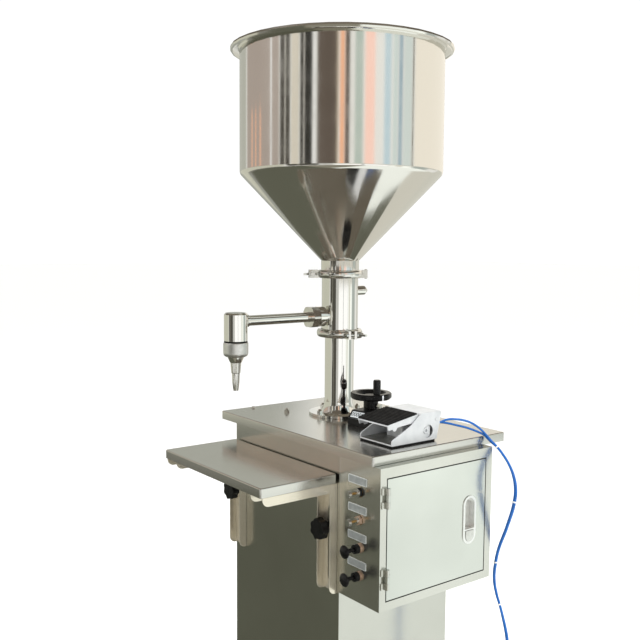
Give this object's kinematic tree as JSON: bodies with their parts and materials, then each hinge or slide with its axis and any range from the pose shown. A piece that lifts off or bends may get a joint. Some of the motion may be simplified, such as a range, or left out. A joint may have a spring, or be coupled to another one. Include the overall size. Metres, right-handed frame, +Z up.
{
  "type": "pneumatic cream filling machine",
  "caption": "Tall stainless steel piston filling machine: hopper over a pump column with a side nozzle, on a pedestal with a sliding shelf, control cabinet and foot valve.",
  "frame": {"origin": "on the floor, under the middle of the machine's outline without its tubes", "axes": "+Z up along the pump column, -Y towards the operator and the shelf, +X to the operator's right, where the cabinet is"},
  "size_m": [0.5927, 0.5532, 1.55],
  "materials": {
    "polished_steel": "mirror polished stainless steel",
    "satin_steel": "satin stainless steel sheet",
    "spring_steel": "bright spring wire",
    "brass": "satin brass",
    "cast_aluminium": "light grey painted aluminium",
    "black_plastic": "black moulded plastic",
    "black_rubber": "black rubber",
    "white_seal": "white seal material",
    "bowl_plastic": "grey moulded body and smoky bowls",
    "blue_tube": "blue polyurethane tube"
  },
  "bodies": {
    "frame": {"pedestal": "satin_steel", "rear_hatch": "satin_steel", "base_frame": "satin_steel", "table_top": "satin_steel", "control_cabinet": "satin_steel", "main_air_valve": "cast_aluminium", "control_block": "brass", "product_cylinder": "polished_steel", "lower_gasket": "white_seal", "valve_body": "polished_steel", "upper_gasket": "white_seal", "hopper": "polished_steel", "upper_clamp": "polished_steel", "lower_clamp": "polished_steel", "discharge_arm": "polished_steel", "nozzle_ring": "black_rubber", "nozzle_tip": "polished_steel", "drip_spring": "spring_steel", "inlet_spring": "spring_steel", "air_cylinder": "cast_aluminium", "cylinder_carrier": "satin_steel", "position_indicator": "black_plastic", "pedal_mat": "black_rubber", "pedal_base": "cast_aluminium", "pedal_valve": "cast_aluminium", "air_unit": "bowl_plastic", "tube_outlet": "brass", "foot_tube_a": "blue_tube", "foot_tube_b": "blue_tube"},
    "door": {"cabinet_door": "satin_steel"},
    "door_button": {"door_button": "polished_steel"},
    "fill_speed_knob": {"fill_speed_knob": "polished_steel"},
    "return_speed_knob": {"return_speed_knob": "polished_steel"},
    "run_knob": {"run_knob": "black_plastic"},
    "mode_knob": {"mode_knob": "black_plastic"},
    "upper_wing_nut": {"upper_wing_nut": "polished_steel"},
    "lower_wing_nut": {"lower_wing_nut": "polished_steel"},
    "union_nut": {"union_nut": "polished_steel"},
    "nozzle_collar": {"nozzle_collar": "satin_steel"},
    "drip_poppet": {"drip_poppet": "polished_steel"},
    "inlet_poppet": {"inlet_poppet": "white_seal"},
    "outlet_poppet": {"outlet_poppet": "white_seal"},
    "stroke": {"product_piston": "polished_steel", "piston_seal": "black_rubber", "stop_arm": "satin_steel", "air_piston": "satin_steel"},
    "spindle": {"handwheel": "black_plastic", "lead_screw": "satin_steel"},
    "grip": {"handwheel_grip": "black_plastic"},
    "stop_nut": {"stop_nut": "brass"},
    "treadle": {"treadle": "cast_aluminium", "tread": "black_rubber"},
    "pedal_plunger": {"pedal_plunger": "brass"},
    "shelf": {"shelf_tray": "satin_steel", "left_bracket": "satin_steel", "right_bracket": "satin_steel"},
    "left_shelf_knob": {"left_shelf_knob": "black_plastic"},
    "right_shelf_knob": {"right_shelf_knob": "black_plastic"},
    "regulator_knob": {"regulator_knob": "black_plastic"}
  },
  "joints": [
    {"name": "door_swing", "type": "hinge", "parent": "frame", "child": "door", "pos_m": [0.2736, -0.1046, 0.692], "axis": [0, 0, 1], "range_deg": [-110, 0]},
    {"name": "door_button_press", "type": "slide", "parent": "door", "child": "door_button", "axis": [-1, 0, 0], "range_m": [0, 0.003], "stiffness_N_per_m": 400, "springref_m": -0.002},
    {"name": "fill_speed_turn", "type": "hinge", "parent": "frame", "child": "fill_speed_knob", "pos_m": [0.2176, -0.1416, 0.763], "axis": [0, 1, 0], "range_deg": [0, 720]},
    {"name": "return_speed_turn", "type": "hinge", "parent": "frame", "child": "return_speed_knob", "pos_m": [0.2176, -0.1416, 0.7157], "axis": [0, 1, 0], "range_deg": [0, 720]},
    {"name": "run_push", "type": "slide", "parent": "frame", "child": "run_knob", "axis": [0, 1, 0], "range_m": [0, 0.005]},
    {"name": "mode_push", "type": "slide", "parent": "frame", "child": "mode_knob", "axis": [0, 1, 0], "range_m": [0, 0.005]},
    {"name": "upper_nut_turn", "type": "hinge", "parent": "frame", "child": "upper_wing_nut", "pos_m": [-0.08987, 0.00964, 1.1125], "axis": [0.848, -0.5299, 0], "continuous": true},
    {"name": "lower_nut_turn", "type": "hinge", "parent": "frame", "child": "lower_wing_nut", "pos_m": [-0.00361, 0.04449, 0.995], "axis": [0.2419, 0.9703, 0], "continuous": true},
    {"name": "union_turn", "type": "hinge", "parent": "frame", "child": "union_nut", "pos_m": [-0.0594, -0.0116, 1.0293], "axis": [0, 1, 0], "continuous": true},
    {"name": "collar_turn", "type": "hinge", "parent": "frame", "child": "nozzle_collar", "pos_m": [-0.0594, -0.1856, 0.98], "axis": [0, 0, 1], "continuous": true},
    {"name": "drip_lift", "type": "slide", "parent": "frame", "child": "drip_poppet", "axis": [0, 0, 1], "range_m": [0, 0.008], "stiffness_N_per_m": 300, "springref_m": -0.006, "deforming": ["drip_spring"]},
    {"name": "inlet_drop", "type": "slide", "parent": "frame", "child": "inlet_poppet", "axis": [0, 0, 1], "range_m": [-0.007, 0], "stiffness_N_per_m": 400, "springref_m": 0.006, "deforming": ["inlet_spring"]},
    {"name": "outlet_open", "type": "slide", "parent": "frame", "child": "outlet_poppet", "axis": [0, -1, 0], "range_m": [0, 0.007], "stiffness_N_per_m": 300, "springref_m": -0.004},
    {"name": "stroke_slide", "type": "slide", "parent": "frame", "child": "stroke", "axis": [0, 0, 1], "range_m": [-0.095, 0]},
    {"name": "spindle_turn", "type": "hinge", "parent": "frame", "child": "spindle", "pos_m": [0.0466, 0.0524, 0.88], "axis": [0, 0, 1], "range_deg": [0, 3600]},
    {"name": "grip_spin", "type": "hinge", "parent": "spindle", "child": "grip", "pos_m": [0.07573, 0.0418, 0.9], "axis": [0, 0, 1], "continuous": true},
    {"name": "stop_nut_travel", "type": "slide", "parent": "frame", "child": "stop_nut", "axis": [0, 0, 1], "range_m": [0, 0.06]},
    {"name": "treadle_press", "type": "hinge", "parent": "frame", "child": "treadle", "pos_m": [0.1861, 0.0484, 0.8685], "axis": [1, 0, 0], "range_deg": [0, 6.5], "stiffness_Nm_per_rad": 12, "springref_deg": -6.88},
    {"name": "plunger_press", "type": "slide", "parent": "frame", "child": "pedal_plunger", "axis": [0, 0, 1], "range_m": [-0.003, 0]},
    {"name": "shelf_height", "type": "slide", "parent": "frame", "child": "shelf", "axis": [0, 0, 1], "range_m": [-0.031, 0.029]},
    {"name": "left_knob_turn", "type": "hinge", "parent": "frame", "child": "left_shelf_knob", "pos_m": [-0.1489, -0.1316, 0.685], "axis": [0, 1, 0], "range_deg": [0, 720]},
    {"name": "right_knob_turn", "type": "hinge", "parent": "frame", "child": "right_shelf_knob", "pos_m": [0.1401, -0.1316, 0.685], "axis": [0, 1, 0], "range_deg": [0, 720]},
    {"name": "pressure_turn", "type": "hinge", "parent": "frame", "child": "regulator_knob", "pos_m": [0.1956, -0.0316, 0.415], "axis": [0, 0, 1], "range_deg": [0, 1080]}
  ],
  "couplings": [
    {"joint": "stop_nut_travel", "follows": "spindle_turn", "m_per_rad": 0.00095493},
    {"joint": "plunger_press", "follows": "treadle_press", "m_per_rad": -0.026}
  ]
}
